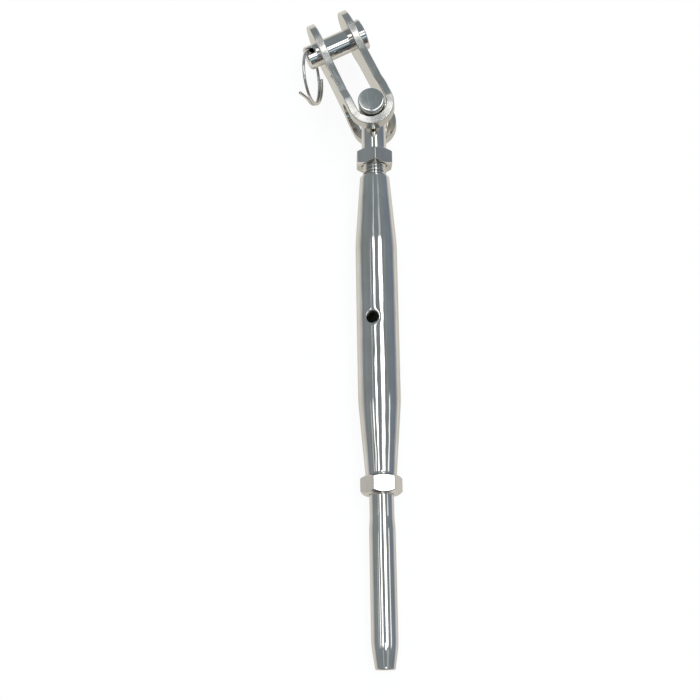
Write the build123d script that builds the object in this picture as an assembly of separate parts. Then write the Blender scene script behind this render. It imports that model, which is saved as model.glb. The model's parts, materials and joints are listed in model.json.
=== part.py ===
"""Closed-body rigging turnbuckle: toggle jaw at one end, swage stud at the other.

The turnbuckle lies along +Y. The origin is the mouth of the swage stud's wire bore,
+Y runs towards the toggle, and +Z is up, along the crossbar that the toggle swings on.
The toggle leans towards -X at rest.
"""
import os
from math import cos, radians, sin, tan

from build123d import *

# ---- driving dimensions, millimetres ----
thread_r = 6.0             # M12 thread, both ends
thread_pitch = 1.75
thread_depth = 1.07
running_gap = 0.07         # radial clearance of every running fit

tube_r = 6.25              # swaged part of the stud, for 6 mm wire
wire_bore_r = 3.2
wire_bore_depth = 60.0
tip_length = 10.8
tip_r = 4.75
neck_r = 5.82              # plain neck between the tube and the thread
tube_end_y = 64.0
neck_start_y = 69.0

nut_across_flats = 17.6
nut_face_r = 8.3           # chamfer circle on each end of a nut
nut_chamfer_angle = 30.0
lower_nut_chamfer = 40.0   # its end towards the wire is rounder
lower_nut_height = 8.8
upper_nut_height = 8.0
lower_nut_turn = 11.6      # a flat's normal from +Z, towards +X
upper_nut_turn = 36.3      # so that a corner is 6.3 degrees from +Z

body_start_y = 88.6
body_length = 152.2
body_mid_r = 10.28
body_end_r = 7.38
body_taper = 36.2
tapped_length = 40.0
chamber_r = 8.2
chamber_taper = 4.0
peep_hole_r = 3.15
peep_hole_turn = -12.0    # about Y, from +Z towards -X

locknut_gap = 5.4          # thread showing between the body and the upper locknut
stud_end_gap = 10.0        # from the peep hole's centre to the end of each stud

shank_r = 6.22
crossbar_y = 274.9
crossbar_r = 6.6
crossbar_half = 18.3
crossbar_rim = 1.2
spigot_r = 4.5             # the shank's end, fixed in the crossbar

strap_lean = 23.6          # toggle's lean at rest, about Z
strap_thickness = 3.9
strap_bend_r = 7.7         # inside of the bend
strap_bend_rise = 0.75     # bend's centre past the crossbar's axis, towards the pin
strap_leg_angle = 0.7      # each leg closes in by this much
strap_half_width = 15.0
strap_waist = 12.5
strap_loop_end = 8.4       # full width up to here, then the waist
strap_waist_start = 13.6
strap_slot_r = 8.0
strap_slot_reach = 4.0     # centre of the slot's round end
strap_edge = 0.5
pin_distance = 45.0        # crossbar's axis to the clevis pin's axis
eye_r = 15.0

pin_r = 6.1
pin_head_r = 8.2
pin_head_thickness = 3.6
pin_side_gap = 0.6         # between the head and the strap
pin_end_length = 6.35      # past the strap's outer face
pin_hole_r = 1.75
pin_hole_inset = 3.0       # from the strap's outer face to the cross hole
pin_hole_turn = -8.0       # about the pin's own axis, from +Z

ring_wire_r = 0.74
ring_r = 13.7
ring_lean = 26.0           # swing away from the strap, about the cross hole
ring_tilt = 9.0            # the ring hangs out of square in its loose hole
ring_sweep = 480.0         # degrees of wire in the coil
ring_start = 60.0          # first end, degrees from the hole, on the lower side
ring_sag = 0.70            # the wire rests on the hole's wall
tail_length = 8.2          # sprung end
tail_spread = 14.0         # degrees that it stands out of the coil's plane

# ---- positions that follow ----
body_end_y = body_start_y + body_length
peep_hole_y = body_start_y + body_length / 2
upper_nut_y = body_end_y + locknut_gap
lower_nut_y = body_start_y - lower_nut_height
shank_start_y = upper_nut_y + upper_nut_height + 0.2
t_bolt_end_y = peep_hole_y + stud_end_gap
stud_end_y = peep_hole_y - stud_end_gap
bore_r = thread_r + running_gap
leg_lean = radians(strap_leg_angle)
strap_outer_at_eye = (strap_bend_r - (pin_distance - strap_bend_rise) * tan(leg_lean)
                      + strap_thickness)


def along_y(profile):
    """Revolve a closed (radius, y) outline about the Y axis."""
    return revolve(make_face(Polyline(*profile, close=True)), Axis.Y)


def thread_outline(start_y, end_y):
    """Crest and root points of a ringed thread between two stations, as (radius, y)."""
    root_r = thread_r - thread_depth
    flat = thread_pitch / 8
    points = []
    y = start_y
    while y + thread_pitch <= end_y:
        points += [(thread_r, y + flat / 2), (root_r, y + thread_pitch / 2 - flat / 2),
                   (root_r, y + thread_pitch / 2 + flat / 2),
                   (thread_r, y + thread_pitch - flat / 2)]
        y += thread_pitch
    return points


def body_tube():
    """One tube with both ends swaged down and tapped, and a hole through its middle."""
    half = body_length / 2
    edge = 0.6
    outline = [(0, -half), (body_end_r, -half), (body_mid_r, -half + body_taper),
               (body_mid_r, half - body_taper), (body_end_r, half), (0, half)]
    with BuildSketch() as section:
        with BuildLine():
            Polyline(*outline, close=True)
        make_face()
        shoulders = section.vertices().filter_by(lambda v: v.X > body_mid_r - 0.01)
        fillet(shoulders, 90)
        rims = section.vertices().filter_by(lambda v: abs(v.X - body_end_r) < 0.01)
        fillet(rims, edge)
    tube = revolve(section.sketch, Axis.Y)
    tapped = half - tapped_length
    chamber = tapped - chamber_taper
    mouth = 0.8
    bore = [(0, -half), (bore_r + mouth, -half), (bore_r, -half + mouth), (bore_r, -tapped),
            (chamber_r, -chamber), (chamber_r, chamber), (bore_r, tapped),
            (bore_r, half - mouth), (bore_r + mouth, half), (0, half)]
    tube -= along_y(bore)
    hole = Rot(0, peep_hole_turn, 0) * Cylinder(peep_hole_r, 3 * body_mid_r)
    tube -= hole
    mouths = tube.edges().filter_by(
        lambda e: e.center().Z ** 2 + e.center().X ** 2 > (body_mid_r - 0.7) ** 2
        and abs(e.center().Y) < peep_hole_r and e.bounding_box().size.Y < 3 * peep_hole_r
        and e.bounding_box().size.Y > peep_hole_r)
    tube = fillet(mouths, 0.45)
    return Pos(0, peep_hole_y, 0) * tube


def locknut(y, height, turn, low_chamfer):
    """A hexagon nut, chamfered on both ends, from y to y + height."""
    flats = RegularPolygon(nut_across_flats / 2, 6, major_radius=False, rotation=-turn)
    blank = extrude(Plane.XZ * flats, -height)
    corner_r = nut_across_flats / 2 / cos(radians(30))
    rise = (corner_r - nut_face_r) * tan(radians(nut_chamfer_angle))
    low_rise = (corner_r - nut_face_r) * tan(radians(low_chamfer))
    lathe = along_y([(0, 0), (nut_face_r, 0), (corner_r, low_rise), (corner_r, height - rise),
                     (nut_face_r, height), (0, height)])
    sink = 0.9
    bore = along_y([(0, 0), (bore_r + sink, 0), (bore_r, sink), (bore_r, height - sink),
                    (bore_r + sink, height), (0, height)])
    return Pos(0, y, 0) * ((blank & lathe) - bore)


def swage_stud():
    """Swage tube with its blind wire bore, plain neck and left-hand thread."""
    rim = 0.9
    thread_start = lower_nut_y + 1.0
    outline = [(wire_bore_r, 0), (tip_r - rim, 0), (tip_r - rim / 3, rim / 3),
               (tip_r, rim), (tube_r - 0.06, tip_length), (tube_r, tip_length + 8),
               (tube_r - 0.08, tube_end_y), (neck_r, neck_start_y), (neck_r, thread_start)]
    outline += thread_outline(thread_start, stud_end_y - thread_pitch)
    outline += [(thread_r - thread_depth, stud_end_y), (0, stud_end_y),
                (0, wire_bore_depth + wire_bore_r * tan(radians(30))),
                (wire_bore_r, wire_bore_depth)]
    return along_y(outline)


def crossbar_blank():
    """The crossbar before it is drilled: a round bar along Z with rounded rims."""
    bar = Cylinder(crossbar_r, 2 * crossbar_half)
    bar = fillet(bar.edges().filter_by(GeomType.CIRCLE), crossbar_rim)
    return Pos(0, crossbar_y, 0) * bar


def spigot(radius):
    """The round end that passes most of the way through the crossbar."""
    reach = crossbar_r + 3.0
    return Pos(0, crossbar_y - reach / 2 + 2.0, 0) * Rot(90, 0, 0) * Cylinder(radius, reach + 4.0)


def toggle_crossbar():
    return crossbar_blank() - spigot(spigot_r)


def toggle_stud():
    """Right-hand threaded stud; its plain shank is coped over the crossbar."""
    outline = [(0, t_bolt_end_y), (thread_r - thread_depth, t_bolt_end_y)]
    outline += thread_outline(t_bolt_end_y + thread_pitch, shank_start_y - 0.5)
    outline += [(thread_r, shank_start_y - 0.4), (shank_r, shank_start_y),
                (shank_r, crossbar_y), (0, crossbar_y)]
    return along_y(outline) - crossbar_blank() + (spigot(spigot_r) & crossbar_blank())


def strap_frame():
    """Placement of the strap's own frame: +Y towards the pin, +X along the pin."""
    return Pos(0, crossbar_y, 0) * Rot(0, 0, strap_lean)


def bend_line(radius, top):
    """U-shaped line: left leg, half-round bend, right leg, open at the top."""
    x = radius * cos(leg_lean)
    y = strap_bend_rise + radius * sin(leg_lean)
    inset = (top - y) * tan(leg_lean)
    bend = ThreePointArc((-x, y), (0, strap_bend_rise - radius), (x, y))
    return [Line((-x + inset, top), (-x, y)), bend, Line((x, y), (x - inset, top))]


def strap_side():
    """Outline of the flattened strap's legs, seen along the pin: (towards pin, up)."""
    low = strap_bend_rise - strap_bend_r - strap_thickness - 1
    w, h = strap_half_width, strap_waist
    legs = make_face(Polyline((low, -w), (strap_loop_end, -w), (strap_waist_start, -h),
                              (pin_distance, -h), (pin_distance, h), (strap_waist_start, h),
                              (strap_loop_end, w), (low, w), close=True))
    with BuildSketch() as outline:
        add(legs)
        with Locations((pin_distance, 0)):
            Circle(eye_r)
        inner = outline.vertices().filter_by(
            lambda v: abs(abs(v.Y) - h) < 0.01 and v.X > strap_waist_start + 1)
        fillet(inner, 18)
        steps = outline.vertices().filter_by(
            lambda v: strap_loop_end - 0.1 < v.X < strap_waist_start + 0.1)
        fillet(steps, 4)
    return outline.sketch


def toggle_strap():
    """Flat plate bent round the crossbar, slotted for the shank, with two eyes."""
    top = pin_distance + eye_r + 2
    outer = bend_line(strap_bend_r + strap_thickness, top)
    inner = bend_line(strap_bend_r, top)
    caps = [Line(outer[0] @ 0, inner[0] @ 0), Line(outer[2] @ 1, inner[2] @ 1)]
    plate = extrude(make_face(Wire(outer + inner + caps)), strap_half_width, both=True)
    reach = strap_bend_r + 2 * strap_thickness
    strap = plate & extrude(Plane.YZ * strap_side(), reach, both=True)
    strap = fillet(strap.edges().filter_by(lambda e: e.length > 3), strap_edge)
    slot = Pos(strap_slot_reach / 2 - reach / 2, 0) * Rectangle(
        reach + strap_slot_reach, 2 * strap_slot_r)
    slot += Pos(strap_slot_reach, 0) * Circle(strap_slot_r)
    strap -= extrude(Plane.YZ * slot, reach, both=True)
    strap -= Pos(0, pin_distance, 0) * Rot(0, 90, 0) * Cylinder(pin_r + running_gap, 4 * reach)
    return strap_frame() * strap


def clevis_pin():
    """Headed pin with a cross hole for the split ring."""
    head_x = strap_outer_at_eye + pin_side_gap
    end_x = -(strap_outer_at_eye + pin_end_length)
    rim, end_rim = 0.5, 0.8
    outline = [(end_x, 0), (end_x, pin_r - end_rim), (end_x + end_rim, pin_r), (head_x, pin_r),
               (head_x, pin_head_r - rim / 2), (head_x + rim / 2, pin_head_r),
               (head_x + pin_head_thickness - rim, pin_head_r),
               (head_x + pin_head_thickness, pin_head_r - rim),
               (head_x + pin_head_thickness, 0)]
    pin = revolve(make_face(Polyline(*outline, close=True)), Axis.X)
    hole_x = -(strap_outer_at_eye + pin_hole_inset)
    cross = Rot(pin_hole_turn, 0, 0) * Pos(hole_x, 0, 0) * Cylinder(pin_hole_r, 3 * pin_r)
    sink = Cone(pin_hole_r + 1.2, pin_hole_r, 1.2)
    for side in (1, -1):
        cross += Rot(pin_hole_turn, 0, 0) * Pos(hole_x, 0, side * (pin_r - 0.35)) * (
            Rot(90 + 90 * side, 0, 0) * sink)
    return strap_frame() * Pos(0, pin_distance, 0) * (pin - cross)


def ring_path():
    """Coil and sprung tail: the coil's axis is +Z, and the hole is at its -Y side."""
    lead = 2 * ring_wire_r + 0.08
    turns = ring_sweep / 360
    coil = Rot(0, 0, ring_start - 90) * Helix(lead, lead * turns, ring_r)
    coil = Pos(0, 0, -lead * (1 - ring_start / 360)) * coil
    end, along = coil @ 1, coil % 1
    side = Vector(0, 0, 1)
    out = (along + side * tan(radians(tail_spread))).normalized()
    tip = end + out * tail_length
    tail = Spline(end, end + along * tail_length * 0.35 + side * 0.1, tip, tangents=(along, out))
    return Wire([coil.edge(), tail.edge()])


def split_ring():
    """Sprung wire ring, one and a third turns and a tail, through the pin's cross hole."""
    path = ring_path()
    wire = sweep(Plane(path @ 0, z_dir=path % 0) * Circle(ring_wire_r), path=path)
    hole_x = -(strap_outer_at_eye + pin_hole_inset)
    hung = Pos(0, -(ring_r - ring_sag), 0) * Rot(0, -ring_tilt, 0) * Rot(0, -90, 0) * Rot(
        0, 0, 180) * wire
    hung = Rot(pin_hole_turn, 0, 0) * Pos(hole_x, 0, 0) * Rot(0, 0, -ring_lean) * hung
    return strap_frame() * Pos(0, pin_distance, 0) * hung


nodes = {
    "body_tube": body_tube,
    "upper_locknut": lambda: locknut(upper_nut_y, upper_nut_height, upper_nut_turn,
                                     nut_chamfer_angle),
    "lower_locknut": lambda: locknut(lower_nut_y, lower_nut_height, lower_nut_turn,
                                     lower_nut_chamfer),
    "swage_stud": swage_stud,
    "toggle_stud": toggle_stud,
    "toggle_crossbar": toggle_crossbar,
    "toggle_strap": toggle_strap,
    "clevis_pin": clevis_pin,
    "split_ring": split_ring,
}

os.makedirs("parts", exist_ok=True)
for node, build in nodes.items():
    export_step(build(), f"parts/{node}.step")
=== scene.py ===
"""Looks of the rigging turnbuckle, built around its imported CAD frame.

Lengths in this script are millimetres in the row frame (+Y along the turnbuckle towards the
toggle, +Z up); they become metres when a mesh or a node is made. Places come from the frame.
"""

import json
from math import asin, atan2, cos, exp, pi, radians, sin, sqrt, tan

import bmesh
import bpy
from mathutils import Matrix, Vector


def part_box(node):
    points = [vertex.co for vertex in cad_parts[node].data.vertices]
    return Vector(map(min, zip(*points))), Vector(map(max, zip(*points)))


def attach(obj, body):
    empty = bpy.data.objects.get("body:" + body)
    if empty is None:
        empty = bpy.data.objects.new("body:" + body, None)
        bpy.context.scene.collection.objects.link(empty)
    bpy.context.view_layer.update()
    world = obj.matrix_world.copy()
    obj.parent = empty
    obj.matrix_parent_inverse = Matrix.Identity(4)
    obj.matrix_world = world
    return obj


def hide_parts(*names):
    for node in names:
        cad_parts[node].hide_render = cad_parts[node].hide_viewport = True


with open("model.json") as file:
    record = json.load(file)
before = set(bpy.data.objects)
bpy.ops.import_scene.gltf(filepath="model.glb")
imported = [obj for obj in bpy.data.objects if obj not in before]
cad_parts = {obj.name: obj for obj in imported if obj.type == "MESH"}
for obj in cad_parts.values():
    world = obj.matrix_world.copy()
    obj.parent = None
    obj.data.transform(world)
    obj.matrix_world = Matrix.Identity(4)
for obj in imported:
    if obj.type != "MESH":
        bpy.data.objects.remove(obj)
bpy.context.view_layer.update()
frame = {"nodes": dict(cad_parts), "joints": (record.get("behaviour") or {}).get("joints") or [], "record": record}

MM = 0.001                 # metres in a millimetre
TURN = 2 * pi
SIXTH = radians(60)        # from one flat of a hexagon to the next


# ---- what the frame says ----
def box_mm(node):
    """Lowest and highest corners of a CAD node at rest."""
    low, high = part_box(node)
    return low / MM, high / MM


joints = {j["name"]: j for j in frame["joints"]}
mounts = {m["name"]: m for m in frame["record"]["mounts"]}
body_low, body_high = box_mm("body_tube")
swage_thread_y = box_mm("swage_stud")[1].y      # free ends of the two threads
bolt_thread_y = box_mm("toggle_stud")[0].y
bar_low, bar_high = box_mm("toggle_crossbar")
crossbar_at = Vector(joints["toggle_swing"]["pos_m"]) / MM
pin_axis = Vector(joints["pin_turn"]["axis"])
ring_at = Vector(joints["ring_swing"]["pos_m"]) / MM
ring_axis = Vector(joints["ring_swing"]["axis"])
peep_at = Vector(mounts["tommy_bar_hole"]["pos_m"]) / MM
peep_axis = Vector(mounts["tommy_bar_hole"]["axis"])
peep_r = mounts["tommy_bar_hole"]["dims"]["r_mm"]
bore_r = mounts["wire_bore"]["dims"]["r_mm"]
bore_depth = mounts["wire_bore"]["dims"]["length_mm"]
toggle_lean = atan2(pin_axis.y, pin_axis.x)
toggle_turn = (0, 0, toggle_lean)      # for coordinates that lie with the toggle
toggle_frame = Matrix.Translation(crossbar_at) @ Matrix.Rotation(toggle_lean, 4, "Z")

# ---- driving dimensions of the replaced pieces ----
# They are the CAD's, apart from those of hand work: polished rims, mouths and corners.
thread_r = 6.0
thread_pitch = 1.75
thread_depth = 1.07
tapped_r = 6.07            # bore of the nuts and of the body's ends

body_mid_r = 10.28
body_end_r = 7.38
body_taper = 36.2
body_shoulder = 3.6        # half length of the smooth change from taper to tube
body_rim = 0.6
tapped_length = 40.0
tapped_mouth = 0.8         # chamfer of the tapped ends
chamber_r = 8.2
chamber_taper = 4.0
dish_depth = 0.34          # polishing has rounded the peep hole's mouth
dish_width = 0.62
dish_reach = 8.0           # no further along the body than this
bore_wall = 0.95           # a face that lies deeper under the skin is inside a bore

nut_across_flats = 17.6
nut_face_r = 8.3
nut_countersink = 0.9
nut_chamfer = radians(30)  # of the end towards the toggle
nut_forms = {              # turn of a flat from +Z, chamfer of the end towards the wire
    "upper_locknut": (radians(36.3), radians(30)),
    "lower_locknut": (radians(11.6), radians(40)),
}
nut_corner_round = 0.3     # widths over which the tumbled edges are rounded
nut_chamfer_round = 0.32

tube_r = 6.25
tip_r = 4.75
tip_length = 10.8
tip_rim = 0.9
tip_shoulder = 3.0         # half length of the smooth change from tip to tube
tube_end_y = 64.0
neck_r = 5.82
neck_start_y = 69.0
shank_r = 6.22
shank_cope = 1.4           # length of the shank's flare at the crossbar
shank_flare = 0.28
crossbar_r = 6.6
rim_reach = 1.7            # hand-polished rim of the crossbar's faces, inwards
rim_drop = 1.2
least_rim = 0.22           # share of the rim's size where it is smallest

strap_bend_y = 0.75        # bend's centre, in the toggle's frame
strap_bend_r = 7.7
strap_thickness = 3.9
strap_draw = 0.62          # how far bending has drawn the plate's outer edges in
strap_draw_z = (11.0, 14.2)
strap_draw_y = (3.5, -2.5)  # from the bend's centre: none, and all of it

ring_wire_r = 0.74
ring_r = 13.7
ring_lean = radians(26.0)
ring_tilt = radians(9.0)
ring_sweep = radians(480.0)
ring_start = radians(60.0)
ring_sag = 0.70
tail_length = 8.2
tail_spread = radians(14.0)
wire_nose = 0.28           # rounding of the wire's ends


# ---- shader nodes ----
class Nodes:
    """Adds nodes to one tree. An input that is given a socket is linked to it."""

    def __init__(self, tree):
        self.tree = tree
        tree.nodes.clear()

    def add(self, kind, inputs=None, **settings):
        made = self.tree.nodes.new("ShaderNode" + kind)
        for key, value in settings.items():
            setattr(made, key, value)
        for key, value in (inputs or {}).items():
            if isinstance(value, bpy.types.NodeSocket):
                self.tree.links.new(value, made.inputs[key])
            else:
                made.inputs[key].default_value = value
        return made

    def math(self, operation, *values):
        return self.add("Math", dict(enumerate(values)), operation=operation).outputs[0]

    def step(self, value, start, end, low=0.0, high=1.0):
        """Smooth step of value from low at start to high at end."""
        return self.add("MapRange", {"Value": value, "From Min": start, "From Max": end,
                                     "To Min": low, "To Max": high},
                        interpolation_type="SMOOTHSTEP").outputs[0]

    def blend(self, factor, first, second):
        """Mix of two colours."""
        colours = {0: factor, 6: first, 7: second}
        return self.add("Mix", {k: (*v, 1.0) if isinstance(v, tuple) else v
                                for k, v in colours.items()}, data_type="RGBA").outputs[2]

    def noise(self, at, size, detail=2.0, turn=(0, 0, 0)):
        """Noise whose features are size millimetres long along the turned axes."""
        mapped = self.add("Mapping", {"Vector": at, "Rotation": turn,
                                      "Scale": [s * MM for s in size]},
                          vector_type="TEXTURE").outputs[0]
        return self.add("TexNoise", {"Vector": mapped, "Scale": 1.0, "Detail": detail}).outputs[0]


# Marks that every steel here has. Sizes and heights are in millimetres.
SMUDGE_SIZE, SMUDGE_BLUR = (9, 14, 9), 0.07
SPECKLE_SIZE, SPECKLE_HEIGHT = (0.5, 0.7, 0.5), 0.0008
SCRATCH_SIZE, SCRATCH_AT = (0.16, 9, 0.16), (0.66, 0.74)         # at: where the noise cuts in
CROSS_SCRATCH_SIZE, CROSS_SCRATCH_AT = (0.14, 7, 0.9), (0.68, 0.75)
CROSS_SCRATCH_TURN = (0.5, 0.3, 0.75)
SCRATCH_DEPTH, SCRATCH_BLUR = 0.0012, 0.10
LINE_BLUR = 0.08
LEAST_BLUR = 0.02
GRINDING_HEIGHT, GRINDING_BLUR = 0.022, 0.17
TARNISH_TINT = (1.0, 0.985, 0.95)


def steel(name, tint, roughness, lines, wave, turn=(0, 0, 0), line_height=0.0012,
          wave_height=0.05, scuff=0.5, tarnish=0.06, ground=None):
    """Polished stainless steel.

    lines and wave are the feature sizes of the polishing lines and of the surface's gentle
    unevenness along the turned axes; scuff is how strong scratches and smudges are. ground
    adds coarse grinding marks: it takes the nodes and coordinates, and gives where and how high.
    """
    material = bpy.data.materials.new(name)
    material.use_nodes = True
    n = Nodes(material.node_tree)
    at = n.add("TexCoord").outputs["Object"]
    fine = n.noise(at, lines, 3.0, turn=turn)
    broad = n.noise(at, wave, 1.0, turn=turn)
    smudge = n.noise(at, SMUDGE_SIZE, 4.0, turn=turn)
    speckle = n.noise(at, SPECKLE_SIZE)
    slant = tuple(a + b for a, b in zip(turn, CROSS_SCRATCH_TURN))
    long_cut = n.step(n.noise(at, SCRATCH_SIZE, 1.0, turn=turn), *SCRATCH_AT)
    cross_cut = n.step(n.noise(at, CROSS_SCRATCH_SIZE, 1.0, turn=slant), *CROSS_SCRATCH_AT)
    cuts = n.math("MAXIMUM", long_cut, cross_cut)

    shade = n.math("ADD", n.math("MULTIPLY", smudge, 0.6), n.math("MULTIPLY", fine, 0.4))
    dull = tuple(c * (1 - tarnish) * k for c, k in zip(tint, TARNISH_TINT))
    bright = tuple(min(1.0, c * (1 + tarnish)) for c in tint)
    colour = n.blend(n.step(shade, 0.35, 0.65), dull, bright)

    blur = n.math("MULTIPLY_ADD", n.math("SUBTRACT", fine, 0.5), LINE_BLUR * scuff, roughness)
    blur = n.math("MULTIPLY_ADD", n.step(smudge, 0.48, 0.72), SMUDGE_BLUR * scuff, blur)
    blur = n.math("MULTIPLY_ADD", cuts, SCRATCH_BLUR * scuff, blur)

    height = n.math("MULTIPLY", broad, wave_height * MM)
    height = n.math("MULTIPLY_ADD", fine, line_height * MM, height)
    height = n.math("MULTIPLY_ADD", speckle, SPECKLE_HEIGHT * scuff * MM, height)
    height = n.math("MULTIPLY_ADD", cuts, -SCRATCH_DEPTH * scuff * MM, height)
    if ground:
        where, marks = ground(n, at)
        marks = n.math("MULTIPLY", where, marks)
        blur = n.math("MULTIPLY_ADD", where, GRINDING_BLUR, blur)
        height = n.math("MULTIPLY_ADD", marks, GRINDING_HEIGHT * MM, height)
    blur = n.math("MAXIMUM", blur, LEAST_BLUR)
    normal = n.add("Bump", {"Strength": 1.0, "Distance": 1.0, "Height": height}).outputs[0]
    shader = n.add("BsdfPrincipled", {"Base Color": colour, "Metallic": 1.0,
                                      "Roughness": blur, "Normal": normal})
    n.tree.links.new(shader.outputs[0], n.add("OutputMaterial").inputs[0])
    return material


def edge_grinding(n, at):
    """Marks across the strap's edge, all round its bend and by the clevis pin.

    Places are in the toggle's frame, in millimetres; each pair says where a band of marks
    starts and where it is at full strength.
    """
    edge_z = (11.0, 12.0)
    pin_band_y, pin_band = 39.5, (10.5, 6.5)
    bend_band, bend_slant = (7.0, 2.5), 0.4
    bend_middle_r = 9.6        # half way through the plate
    marks_per_mm, mark_stretch = 1.3, 0.3
    own = n.add("Mapping", {"Vector": at, "Location": crossbar_at * MM,
                            "Rotation": toggle_turn, "Scale": (MM, MM, MM)},
                vector_type="TEXTURE").outputs[0]
    x, y, z = n.add("SeparateXYZ", {0: own}).outputs
    arm = n.math("SUBTRACT", y, strap_bend_y)
    angle = n.math("ARCTAN2", x, n.math("MULTIPLY", arm, -1.0))
    spot = n.add("CombineXYZ", {0: n.math("MULTIPLY", angle, bend_middle_r),
                                1: n.math("MULTIPLY", z, mark_stretch)}).outputs[0]
    marks = n.add("TexNoise", {"Vector": spot, "Scale": marks_per_mm, "Detail": 3.0}).outputs[0]
    edge = n.step(n.math("ABSOLUTE", z), *edge_z)
    by_pin = n.step(n.math("ABSOLUTE", n.math("SUBTRACT", y, pin_band_y)), *pin_band)
    by_bend = n.step(n.math("MULTIPLY_ADD", x, bend_slant, y), *bend_band)
    where = n.math("MAXIMUM", by_bend, by_pin)
    return n.math("MULTIPLY", where, edge), marks


STEEL = (0.60, 0.59, 0.57)
body_steel = steel("body_steel", STEEL, 0.05, (0.22, 30, 0.22), (3.0, 15, 3.0),
                   wave_height=0.085)
nut_steel = steel("nut_steel", (0.59, 0.575, 0.555), 0.13, (0.9, 0.16, 0.9), (4, 4, 4),
                  wave_height=0.01, scuff=0.8)
stud_steel = steel("stud_steel", STEEL, 0.06, (0.2, 24, 0.2), (2.6, 18, 2.6),
                   wave_height=0.03)
bolt_steel = steel("bolt_steel", STEEL, 0.08, (0.25, 9, 0.25), (3, 6, 3), wave_height=0.03)
bar_steel = steel("bar_steel", (0.57, 0.57, 0.55), 0.10, (0.5, 0.5, 6), (3, 3, 9),
                  wave_height=0.008, scuff=0.8, tarnish=0.09)
strap_steel = steel("strap_steel", (0.59, 0.575, 0.55), 0.10, (0.35, 5, 0.35), (2.6, 7, 2.6),
                    turn=toggle_turn, line_height=0.002, wave_height=0.014, scuff=0.9,
                    tarnish=0.08, ground=edge_grinding)
# Inside the bores: rougher, as drilled, and darker in colour, which is painted shade.
bore_steel_painted_shade = steel("bore_steel_painted_shade", (0.46, 0.46, 0.43), 0.36, (2, 0.3, 2), (4, 4, 4), scuff=1.0,
                   line_height=0.01, wave_height=0.01, tarnish=0.15)
pin_steel = steel("pin_steel", STEEL, 0.05, (0.18, 7, 7), (9, 2.5, 2.5), turn=toggle_turn,
                  wave_height=0.02)
wire_steel = steel("wire_steel", (0.57, 0.56, 0.545), 0.12, (0.2, 3, 0.2), (1.5, 4, 1.5),
                   wave_height=0.006)


# ---- meshes ----
def add_piece(name, mesh_builder, material, body, slot, *nodes, sharp=radians(38)):
    """A finished piece from a bmesh in millimetres, in place of the named CAD nodes.

    Its faces are turned outwards, and edges steeper than sharp stay crisp.
    """
    bmesh.ops.remove_doubles(mesh_builder, verts=mesh_builder.verts, dist=1e-4)
    bmesh.ops.dissolve_degenerate(mesh_builder, edges=mesh_builder.edges, dist=1e-5)
    bmesh.ops.recalc_face_normals(mesh_builder, faces=mesh_builder.faces)
    if mesh_builder.calc_volume(signed=True) < 0:
        bmesh.ops.reverse_faces(mesh_builder, faces=mesh_builder.faces)
    bmesh.ops.scale(mesh_builder, vec=(MM, MM, MM), verts=mesh_builder.verts)
    mesh = bpy.data.meshes.new(name)
    mesh_builder.to_mesh(mesh)
    mesh_builder.free()
    mesh.shade_smooth()
    mesh.set_sharp_from_angle(angle=sharp)
    mesh.materials.append(material)
    piece = bpy.data.objects.new(name, mesh)
    bpy.context.scene.collection.objects.link(piece)
    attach(piece, body)
    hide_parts(*nodes)
    return piece


def around_y(radius, y, angle):
    """Point at that radius and station; the angle runs from +Z towards +X."""
    return Vector((radius * sin(angle), y, radius * cos(angle)))


def skin(rings, loop=False):
    """Quads between neighbouring rings of points; ends are capped, or joined in a loop."""
    made = bmesh.new()
    rows = [[made.verts.new(p) for p in ring] for ring in rings]
    pairs = list(zip(rows, rows[1:] + rows[:1])) if loop else list(zip(rows, rows[1:]))
    for low, high in pairs:
        for i, corner in enumerate(low):
            k = (i + 1) % len(low)
            made.faces.new((corner, low[k], high[k], high[i]))
    if not loop:
        made.faces.new(rows[0])
        made.faces.new(rows[-1])
    return made


def lathe(outline, segments):
    """Rings about Y through an outline of (radius, y)."""
    return [[around_y(r, y, TURN * i / segments) for i in range(segments)] for r, y in outline]


def arc(centre, radius, start, end, steps):
    """Points of an arc in the (radius, y) plane, angles in degrees from +radius."""
    angles = [radians(start + (end - start) * i / steps) for i in range(steps + 1)]
    return [(centre[0] + radius * cos(a), centre[1] + radius * sin(a)) for a in angles]


def smooth(t):
    """Smooth step from 0 to 1."""
    t = min(1.0, max(0.0, t))
    return t * t * (3 - 2 * t)


def soft_min(a, b, width):
    """Smaller of two lengths, rounded over where they cross."""
    near = max(width - abs(a - b), 0.0) / width
    return min(a, b) - near * near * width / 4


# ---- body: swaged tube with its peep hole ----
def body_radius(from_end):
    """Outer radius at a distance from the nearer end."""
    slope = (body_mid_r - body_end_r) / body_taper
    past = body_taper + body_shoulder - from_end
    if past < 0:
        return body_mid_r
    if past < 2 * body_shoulder:
        return body_mid_r - slope * past * past / (4 * body_shoulder)
    return body_end_r + slope * from_end


def body_stations():
    """Distances from the middle, close together beside the peep hole."""
    near, far = 7.5, (body_high.y - body_low.y) / 2 - body_rim
    fine_steps, coarse_steps = 34, 52
    fine = [near * i / fine_steps for i in range(fine_steps + 1)]
    coarse = [near + (far - near) * i / coarse_steps for i in range(1, coarse_steps + 1)]
    return [-y for y in reversed(fine[1:] + coarse)] + fine + coarse


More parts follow.
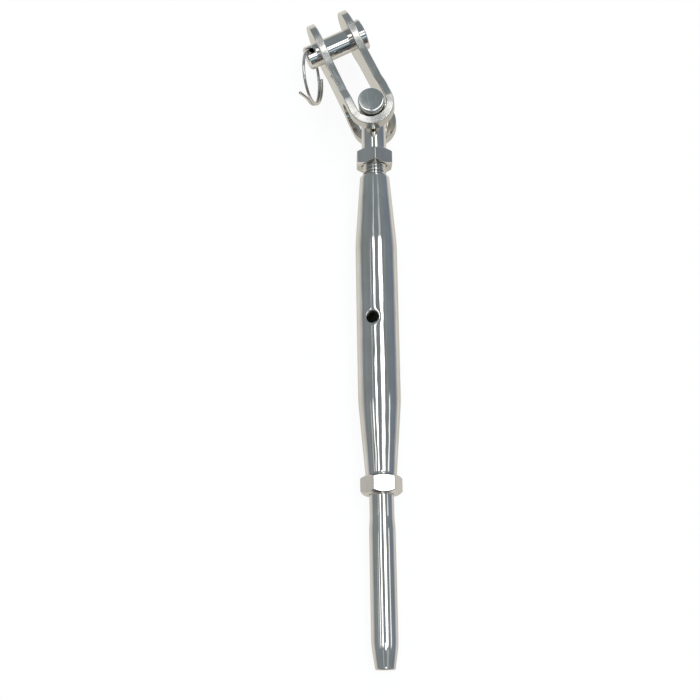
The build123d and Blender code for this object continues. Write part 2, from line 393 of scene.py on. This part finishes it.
def build_body():
    """Tube with tapered ends, tapped at both, and a hole with a polished mouth across it."""
    middle = (body_low.y + body_high.y) / 2
    half = (body_high.y - body_low.y) / 2
    rim_r = body_end_r - body_rim
    tapped = half - tapped_length
    chamber = tapped - chamber_taper
    outline = arc((rim_r, -half + body_rim), body_rim, -90, -12, 5)
    outline += [(body_radius(half - abs(y)), y) for y in body_stations()]
    outline += arc((rim_r, half - body_rim), body_rim, 12, 90, 5)
    outline += [(tapped_r + tapped_mouth, half), (tapped_r, half - tapped_mouth),
                (tapped_r, tapped), (chamber_r, chamber),
                (chamber_r, -chamber), (tapped_r, -tapped),
                (tapped_r, -half + tapped_mouth), (tapped_r + tapped_mouth, -half)]
    rings = lathe([(r, y + middle) for r, y in outline], 224)
    for ring in rings:
        for p in ring:
            spoke = Vector((p.x, 0, p.z))
            if spoke.length < body_mid_r - 0.5 or abs(p.y - middle) > dish_reach:
                continue
            away = (p - peep_at).cross(peep_axis).length - peep_r
            p -= spoke.normalized() * dish_depth * exp(-max(away, 0) / dish_width)
    blank = skin(rings, loop=True)
    bmesh.ops.recalc_face_normals(blank, faces=blank.faces)
    drill_turn = Vector((0, 0, 1)).rotation_difference(peep_axis).to_matrix().to_4x4()
    drill = bmesh.new()
    bmesh.ops.create_cone(drill, cap_ends=True, segments=96, radius1=peep_r, radius2=peep_r,
                          depth=3 * body_mid_r, matrix=Matrix.Translation(peep_at) @ drill_turn)
    return cut(blank, drill)


def cut(blank, drill):
    """The blank less the drill, both bmeshes that it uses up."""
    objects = []
    for name, part in (("blank", blank), ("drill", drill)):
        mesh = bpy.data.meshes.new(name)
        part.to_mesh(mesh)
        part.free()
        objects.append(bpy.data.objects.new(name, mesh))
        bpy.context.scene.collection.objects.link(objects[-1])
    boolean = objects[0].modifiers.new("cut", "BOOLEAN")
    boolean.operation, boolean.solver, boolean.object = "DIFFERENCE", "EXACT", objects[1]
    evaluated = objects[0].evaluated_get(bpy.context.evaluated_depsgraph_get())
    result = bmesh.new()
    result.from_mesh(evaluated.to_mesh())
    for o in objects:
        bpy.data.meshes.remove(o.data)
    return result


skin_piece = add_piece("body_skin", build_body(), body_steel, "body", "body_polish", "body_tube")
# Faces inside the tapped ends and the peep hole take the bore steel. Its darker tint is painted shade, and its
# roughness is a drilled finish.
skin_piece.data.materials.append(bore_steel_painted_shade)
for face in skin_piece.data.polygons:
    centre = face.center / MM
    from_end = min(centre.y - body_low.y, body_high.y - centre.y)
    if Vector((centre.x, 0, centre.z)).length < body_radius(from_end) - bore_wall:
        face.material_index = 1


# ---- locknuts ----
def build_nut(node):
    """Hexagon blank and chamfer cones as one surface, with softly rounded edges."""
    low, high = box_mm(node)
    height = high.y - low.y
    turn, low_chamfer = nut_forms[node]
    flat = nut_across_flats / 2
    sink = nut_countersink
    per_face, edge_rows = 44, 44
    edge_reach, crowding = 2.4, 1.2        # rows lie closer together towards the end faces
    angles = [SIXTH * face + SIXTH / 2 * sin(pi / 2 * (2 * i / per_face - 1))
              for face in range(6) for i in range(per_face)]

    def hexagon(angle):
        nearest = round(angle / SIXTH)
        before, wall, after = (flat / max(cos(angle - SIXTH * k), 0.1)
                               for k in (nearest - 1, nearest, nearest + 1))
        return soft_min(soft_min(before, wall, nut_corner_round), after, nut_corner_round)

    def outer(angle, y):
        cone = nut_face_r + min(y / tan(low_chamfer), (height - y) / tan(nut_chamfer))
        return soft_min(hexagon(angle), cone, nut_chamfer_round)

    def ring_at_radius(r, y):
        return [around_y(r, low.y + y, a + turn) for a in angles]

    end_face = (tapped_r + sink, nut_face_r - 0.5, nut_face_r - 0.12)
    edge = [edge_reach * (i / edge_rows) ** crowding for i in range(edge_rows + 1)]
    stations = edge + [height / 2] + [height - y for y in reversed(edge)]
    rings = [ring_at_radius(r, 0) for r in end_face]
    for y in stations:
        inset = 0.04 if y in (stations[0], stations[-1]) else 0.0
        rings.append([around_y(outer(a, y) - inset, low.y + y, a + turn) for a in angles])
    rings += [ring_at_radius(r, height) for r in reversed(end_face)]
    rings += [ring_at_radius(tapped_r, y) for y in (height - sink, sink)]
    return skin(rings, loop=True)


for nut, nut_body in (("upper_locknut", "upper_nut"), ("lower_locknut", "lower_nut")):
    add_piece(nut.replace("lock", ""), build_nut(nut), nut_steel, nut_body, "nut_polish", nut)


# ---- threaded studs ----
def threaded(free_y, way, length, end_r, segments):
    """Rings of a helical thread, from its free end to its run-out.

    way is +1 where the thread runs towards +Y from its free end (right-hand) and -1 where it
    runs towards -Y (left-hand). Each ring climbs one pitch in a turn, so the skin is closed
    by joining a ring's end to the ring one pitch on.
    """
    root_r = thread_r - thread_depth
    blunt_r = root_r - 0.15        # of the free end, where the lead-in chamfer starts
    # one pitch of the thread: share of the pitch, and share of the depth
    tooth = [(-0.0625, 0.94), (-0.02, 1.0), (0.02, 1.0), (0.0625, 0.94), (0.17, 0.65),
             (0.27, 0.38), (0.375, 0.1), (0.44, 0.02), (0.5, 0.0), (0.56, 0.02), (0.625, 0.1),
             (0.73, 0.38), (0.83, 0.65)]
    lead_in, run_out = 1.2, 1.4 * thread_pitch
    rings = []
    for pitch in range(-2, int(length / thread_pitch) + 2):
        for u, share in tooth:
            ring = []
            for i in range(segments + 1):
                s = (pitch + u + i / segments) * thread_pitch
                s_in = min(max(s, 0.0), length)
                r = root_r + share * thread_depth
                r = min(r, blunt_r + s_in * thread_depth / lead_in)
                r = max(r, blunt_r if s_in < lead_in else root_r)
                fade = smooth((s_in - length + run_out) / run_out)
                r += (end_r - r) * fade
                ring.append(around_y(r, free_y + way * s_in, TURN * i / segments))
            rings.append(ring)
    return rings


def helical_skin(thread, after):
    """Skin of a helical thread's rings, then of plain rings; capped at both ends."""
    made = bmesh.new()
    rows = [[made.verts.new(p) for p in ring] for ring in thread]
    for low, high in zip(rows, rows[1:]):
        for i in range(len(low) - 1):
            made.faces.new((low[i], low[i + 1], high[i + 1], high[i]))
    made.faces.new(rows[0][:-1])
    plain = [[made.verts.new(p) for p in ring] for ring in after]
    last = rows[-1][:-1]
    for low, high in zip([last] + plain, plain):
        for i in range(len(low)):
            k = (i + 1) % len(low)
            made.faces.new((low[i], low[k], high[k], high[i]))
    made.faces.new(plain[-1])
    return made


def build_bolt_stud():
    """Right-hand thread, and a plain shank coped over the crossbar."""
    segments = 64
    shank_start = box_mm("upper_locknut")[1].y + 0.2
    thread = threaded(bolt_thread_y, 1, shank_start - bolt_thread_y, shank_r, segments)

    def coped(radius, gap):
        """Ring of the shank that follows the crossbar's surface, at a gap from it."""
        ring = []
        for i in range(segments):
            p = around_y(radius, 0, TURN * i / segments)
            p.y = crossbar_at.y - sqrt(crossbar_r ** 2 - p.x ** 2) - gap
            ring.append(p)
        return ring

    after = lathe([(shank_r, y) for y in (shank_start + 0.3, shank_start + 4,
                                          crossbar_at.y - crossbar_r - 3.2)], segments)
    steps = 6
    for t in (i / steps for i in range(steps + 1)):
        after.append(coped(shank_r + shank_flare * t * t, shank_cope * (1 - t)))
    return helical_skin(thread, after)


def build_crossbar():
    """Round bar along Z; each face has a soft rim that wanders, as polished by hand."""
    segments = 96
    rim_steps = 9
    face_rings = (2.6, 0.05)       # radii, inside the rim
    angles = [TURN * i / segments for i in range(segments)]

    def wander(a):
        """Share of the rim's full size: most on the wire's side, and a little uneven."""
        wire_side = (1 - cos(a + toggle_lean / 2)) / 2
        uneven = 1 + 0.10 * sin(3 * a + 1) + 0.06 * sin(7 * a + 2)
        return (least_rim + (1 - least_rim) * wire_side ** 2) * uneven

    def face(sign):
        def spot(a, r, z):
            return crossbar_at + Vector((r * sin(a), r * cos(a), sign * z))

        rings = []
        for t in (pi / 2 * k / rim_steps for k in range(rim_steps + 1)):
            rings.append([spot(a, crossbar_r - rim_reach * wander(a) * (1 - cos(t)),
                               bar_high.z - rim_drop * wander(a) * (1 - sin(t)))
                          for a in angles])
        return rings + [[spot(a, r, bar_high.z) for a in angles] for r in face_rings]

    return skin(face(-1)[::-1] + face(1))


def build_swage_stud():
    """Left-hand thread, neck, swage tube with its tapered tip, and the wire bore."""
    segments, steps = 64, 8
    thread_end = box_mm("lower_locknut")[0].y + 1.0
    thread = threaded(swage_thread_y, -1, swage_thread_y - thread_end, neck_r, segments)
    neck = [(neck_r, thread_end - 0.3), (neck_r, 76.0), (neck_r, neck_start_y + 0.6)]
    flare_r = tube_r - 0.06            # the tube's last millimetres are a little thinner
    flare_start, flare_end = neck_start_y + 0.4, tube_end_y - 0.8
    for t in (i / steps for i in range(steps + 1)):
        neck.append((neck_r + (flare_r - neck_r) * (t + smooth(t)) / 2,
                     flare_start - (flare_start - flare_end) * t))
    tube = [(tube_r - 0.05, tube_end_y - 3.5), (tube_r, 40.0), (tube_r, 24.0)]
    slope = (tube_r - tip_r) / (tip_length - tip_rim)
    for past in (tip_shoulder * (2 * i / steps - 1) for i in range(steps + 1)):
        tube.append((tube_r - slope * (past + tip_shoulder) ** 2 / (4 * tip_shoulder),
                     tip_length - past))
    tip = [(tip_r + 0.12, 1.7)] + arc((tip_r - tip_rim, tip_rim), tip_rim, 4, -90, 9)
    bore_rim = 0.25
    bore = [(bore_r + bore_rim, 0.0), (bore_r, bore_rim), (bore_r, bore_depth / 2),
            (bore_r, bore_depth), (0.02, bore_depth + bore_r * tan(radians(30)))]
    return helical_skin(thread, lathe(neck + tube + tip + bore, segments))


add_piece("bolt_stud", build_bolt_stud(), bolt_steel, "t_bolt", "t_bolt_polish", "toggle_stud",
          sharp=radians(50))
add_piece("crossbar", build_crossbar(), bar_steel, "t_bolt", "t_bolt_polish", "toggle_crossbar")
add_piece("swage_terminal", build_swage_stud(), stud_steel, "stud", "stud_polish", "swage_stud",
          sharp=radians(50))


# ---- toggle strap ----
def build_strap():
    """The CAD plate, with its edges drawn down on the outside of the bend."""
    made = bmesh.new()
    made.from_mesh(frame["nodes"]["toggle_strap"].data)
    bmesh.ops.scale(made, vec=(1 / MM, 1 / MM, 1 / MM), verts=made.verts)
    to_toggle = toggle_frame.inverted()
    z_from, z_full = strap_draw_z
    y_from, y_full = strap_draw_y
    for vert in made.verts:
        p = to_toggle @ vert.co
        arm = Vector((p.x, p.y - strap_bend_y))
        across = (arm.length - strap_bend_r) / strap_thickness
        share = min(max(across, 0), 1) * smooth((y_from - arm.y) / (y_from - y_full))
        share *= smooth((abs(p.z) - z_from) / (z_full - z_from))
        vert.co.z -= (1 if p.z > 0 else -1) * strap_draw * share
    return made


strap = add_piece("strap_plate", build_strap(), strap_steel, "toggle", "strap_satin",
                  "toggle_strap", sharp=radians(32))
weighted = strap.modifiers.new("even_normals", "WEIGHTED_NORMAL")
weighted.keep_sharp = True


# ---- split ring ----
def build_ring():
    """Round wire: a coil of one and a third turns, then the sprung tail."""
    coil_steps, tail_steps, round_steps, nose_steps = 240, 24, 20, 5
    lead = 2 * ring_wire_r + 0.08      # the coil's turns all but touch
    centre = [Matrix.Rotation(ring_start - pi / 2, 4, "Z") @ Vector(
        (ring_r * cos(a), ring_r * sin(a), lead * (a / TURN - 1 + ring_start / TURN)))
        for a in (ring_sweep * i / coil_steps for i in range(coil_steps + 1))]
    along = (centre[-1] - centre[-2]).normalized()
    out = (along + Vector((0, 0, tan(tail_spread)))).normalized()
    start = centre[-1]
    leave = start + along * 0.33 * tail_length
    approach = start + out * 0.62 * tail_length
    end = start + out * tail_length
    for t in (i / tail_steps for i in range(1, tail_steps + 1)):
        s = 1 - t
        centre.append(start * s ** 3 + leave * 3 * s * s * t
                      + approach * 3 * s * t * t + end * t ** 3)
    hole_turn = -asin(ring_axis.dot(toggle_frame.to_3x3() @ Vector((0, 1, 0))))
    place = (Matrix.Translation(ring_at) @ Matrix.Rotation(toggle_lean, 4, "Z")
             @ Matrix.Rotation(hole_turn, 4, "X") @ Matrix.Rotation(-ring_lean, 4, "Z")
             @ Matrix.Translation((0, ring_sag - ring_r, 0)) @ Matrix.Rotation(-ring_tilt, 4, "Y")
             @ Matrix.Rotation(-pi / 2, 4, "Y") @ Matrix.Rotation(pi, 4, "Z"))
    centre = [place @ p for p in centre]
    side = (centre[1] - centre[0]).orthogonal().normalized()
    rings = []
    last = len(centre) - 1
    for i, p in enumerate(centre):
        forward = (centre[min(i + 1, last)] - centre[max(i - 1, 0)]).normalized()
        side = (side - forward * side.dot(forward)).normalized()
        up = forward.cross(side)
        hoop = [side * cos(a) + up * sin(a)
                for a in (TURN * k / round_steps for k in range(round_steps))]
        rows = [(0.0, 1.0)]            # distance on from this point, share of the wire's radius
        if i in (0, last):
            rows = [(wire_nose * (1 - cos(t)), 1 - wire_nose / ring_wire_r * (1 - sin(t)))
                    for t in (pi / 2 * k / nose_steps for k in range(nose_steps + 1))]
            if i == last:
                rows = [(-inward, share) for inward, share in reversed(rows)]
        for inward, share in rows:
            rings.append([p + forward * inward + h * ring_wire_r * share for h in hoop])
    return skin(rings)


add_piece("ring_wire", build_ring(), wire_steel, "ring", "ring_wire", "split_ring",
          sharp=radians(45))

# ---- CAD nodes that stay ----
for slot in frame["nodes"]["clevis_pin"].material_slots:
    slot.material = pin_steel


# ---- floor, backdrop and light ----
def emitter(name, colour, emission, albedo):
    """Plain stage surface that glows a little, so that it stays pale under soft light."""
    material = bpy.data.materials.new(name)
    material.use_nodes = True
    n = Nodes(material.node_tree)
    glow = n.add("Emission", {"Color": (*colour, 1.0), "Strength": emission}).outputs[0]
    matte = n.add("BsdfDiffuse", {"Color": (*(c * albedo for c in colour), 1.0)}).outputs[0]
    both = n.add("AddShader", {0: glow, 1: matte}).outputs[0]
    n.tree.links.new(both, n.add("OutputMaterial").inputs[0])
    return material


def stage_object(name, made, material):
    """Part of the set, which the metal doesn't reflect and which casts no shadow."""
    mesh = bpy.data.meshes.new(name)
    made.to_mesh(mesh)
    made.free()
    mesh.materials.append(material)
    piece = bpy.data.objects.new(name, mesh)
    bpy.context.scene.collection.objects.link(piece)
    piece.visible_glossy = False
    piece.visible_shadow = False
    return piece


# The turnbuckle lies on the floor on its tube's tip and its crossbar's end.
floor_size, dome_radius = 6.0, 5.0     # metres
rest_low = Vector((0, tip_length, -tube_r))
rest_high = Vector((0, crossbar_at.y, bar_low.z))
floor_slope = atan2(rest_high.z - rest_low.z, rest_high.y - rest_low.y)
floor_mesh = bmesh.new()
bmesh.ops.create_grid(floor_mesh, x_segments=1, y_segments=1, size=floor_size,
                      matrix=Matrix.Translation(rest_low * MM)
                      @ Matrix.Rotation(floor_slope, 4, "X"))
stage_object("floor", floor_mesh, emitter("floor_white", (1.0, 1.0, 1.0), 0.91, 0.13))
dome_mesh = bmesh.new()
bmesh.ops.create_uvsphere(dome_mesh, u_segments=48, v_segments=24, radius=dome_radius)
dome = stage_object("backdrop", dome_mesh,
                    emitter("backdrop_white", (0.97, 0.98, 1.0), 0.97, 0.0))
dome.visible_diffuse = False
dome.visible_transmission = False

# Softboxes round the object, as the metal reflects them. Angles in degrees: around is from +Z
# towards +X, and tilt from the plane across the object towards +Y. Along the turnbuckle the
# pieces reflect different tilts: the tip about -16, the tube and the body's lower end 0 to 8,
# its middle 13 to 20, its upper end 30 to 33. The clevis pin lies across, so it reflects all
# tilts in turn.
WHITE = (1.0, 1.0, 1.0)
SKY = (0.55, 0.8, 1.0)
WARM = (1.0, 0.95, 0.82)
softboxes = [
    # around, half width, tilt from, tilt to, softness of the ends, strength, colour
    # the two long strips on the body and the tube, and their faint ends on its upper taper
    (-11.5, 4.3, -8, 25.6, 2.5, 3.2, WHITE),
    (24, 8.5, -8, 25.6, 2.5, 3.8, WHITE),
    (-10.5, 3.4, 28, 32, 3.5, 0.9, WHITE),
    (25, 5.5, 28, 31, 3.5, 0.7, WHITE),
    # bands along the clevis pin
    (12, 7.0, -12, -4, 1.5, 3.0, WHITE),
    (20, 9.0, -26, -19, 1.5, 3.2, WHITE),
    (-2, 8.0, -29, -21, 1.5, 1.3, WHITE),
    # faint strips on the tube's tip
    (-11.5, 4.3, -20, -12, 2, 0.30, WARM),
    (30, 8.0, -20, -12, 2, 0.30, WARM),
    # narrow strips beside the long ones, on the tube and the body's lower half
    (-31, 3.2, -8, 7, 3, 1.8, WHITE),
    (-31, 1.4, 8, 24, 3, 0.6, WHITE),
    (48, 1.0, 8, 26, 3, 0.14, WHITE),
    (-46, 2.2, -8, 6, 3, 0.6, WHITE),
    (60, 4.2, -8, 10, 3, 1.3, WHITE),
    # a blue line low on the clevis pin
    (38, 11.0, -44, -38, 2, 1.0, SKY),
    # past the object's two ends, for views along it
    (24, 8.5, 44, 80, 3, 1.8, WHITE),
    (24, 8.5, -84, -62, 3, 1.4, WHITE),
]
# The room's own tones round the object, from -180 to 180 degrees.
room_tones = [
    (-120, (0.96, 0.94, 0.89)), (-97, (0.70, 0.69, 0.67)), (-85, (0.25, 0.30, 0.37)),
    (-68, (0.33, 0.385, 0.395)), (-40, (0.29, 0.34, 0.365)), (10, (0.27, 0.335, 0.385)),
    (48, (0.30, 0.36, 0.385)), (74, (0.25, 0.31, 0.40)), (100, (0.225, 0.29, 0.415)),
    (110, (0.50, 0.51, 0.50)), (124, (0.96, 0.94, 0.89)),
]
TABLE = (0.72, 0.70, 0.64)         # straight below
FRONT = (0.13, 0.125, 0.12)        # past the wire end
SEAM = (0.31, 0.34, 0.36)
EDGE = 0.8                         # degrees, softness of a softbox's long edges
HALF_TURN = 180


def build_world():
    """Room tones by the angle around the object, with the softboxes added to them."""
    world = bpy.data.worlds.new("studio")
    world.use_nodes = True
    bpy.context.scene.world = world
    n = Nodes(world.node_tree)
    direction = n.add("TexCoord").outputs["Generated"]
    x, y, z = n.add("SeparateXYZ", {0: direction}).outputs
    around = n.math("DEGREES", n.math("ARCTAN2", x, z))
    flat = n.math("SQRT", n.math("ADD", n.math("MULTIPLY", x, x), n.math("MULTIPLY", z, z)))
    tilt = n.math("DEGREES", n.math("ARCTAN2", y, flat))

    ramp = n.add("ValToRGB", {0: n.math("MULTIPLY_ADD", around, 0.5 / HALF_TURN, 0.5)})
    tones = ramp.color_ramp.elements
    places = [0.5 + 0.5 * angle / HALF_TURN for angle, _ in room_tones]
    tones[0].position, tones[1].position = places[0], places[-1]
    for place in places[1:-1]:
        tones.new(place)
    for tone, (_, colour) in zip(tones, room_tones):
        tone.color = (*colour, 1.0)
    room = ramp.outputs[0]
    # fine bands along the object, as the room's edges and seams give
    bands = n.add("TexNoise", {"Vector": n.add("CombineXYZ", {0: around}).outputs[0],
                               "Scale": 0.16, "Detail": 4.0}).outputs[0]
    seams = n.math("MULTIPLY", n.step(bands, 0.35, 0.7), n.step(z, -0.15, 0.1))
    room = n.blend(seams, room, SEAM)
    room = n.blend(n.step(z, -0.60, -0.90), room, TABLE)
    past_end = n.math("MULTIPLY", n.step(y, -0.72, -0.84), n.step(z, -0.3, -0.1))
    room = n.blend(past_end, room, FRONT)
    for middle, half, low, high, soft, strength, colour in softboxes:
        beside = n.math("ABSOLUTE", n.math("SUBTRACT", around, middle))
        inside = n.step(beside, half + EDGE, half - EDGE)
        beyond = n.math("ABSOLUTE", n.math("SUBTRACT", tilt, (low + high) / 2))
        ends = n.step(beyond, (high - low) / 2 + soft, (high - low) / 2 - soft)
        glow = tuple(c * strength for c in colour)
        room = n.add("Mix", {0: n.math("MULTIPLY", inside, ends), 6: room, 7: (*glow, 1.0)},
                     data_type="RGBA", blend_type="ADD").outputs[2]
    background = n.add("Background", {"Color": room, "Strength": 1.0})
    n.tree.links.new(background.outputs[0], n.add("OutputWorld").inputs[0])


build_world()
bpy.context.scene.view_settings.view_transform = "Standard"

# ---- camera, at the photograph's angle ----
view_back = radians(15.5)      # the object's far end leans away from the camera
view_roll = radians(4.3)       # about the object's length
image_turn = radians(-0.9)     # of the camera about its own line of sight
camera_distance = 606.8        # to the aim on the object's axis
aim_y = 150.6
camera_aside = 13.7865         # the camera stands this far to the left of that axis
sensor = 36.0
lens = 64.2857

out = Vector((sin(view_roll), 0, cos(view_roll)))
ahead = Vector((0, sin(view_back), 0)) - cos(view_back) * out
above = Vector((0, cos(view_back), 0)) + sin(view_back) * out
right = ahead.cross(above)
right, above = (cos(image_turn) * right + sin(image_turn) * above,
                cos(image_turn) * above - sin(image_turn) * right)
eye = Vector((0, aim_y, 0)) - camera_distance * ahead - camera_aside * right
camera_data = bpy.data.cameras.new("camera")
camera_data.sensor_width = sensor
camera_data.lens = lens
camera_data.clip_start = 0.01
camera = bpy.data.objects.new("camera", camera_data)
camera.matrix_world = Matrix.Translation(eye * MM) @ Matrix(
    (right, above, -ahead)).transposed().to_4x4()
bpy.context.scene.collection.objects.link(camera)
bpy.context.scene.camera = camera
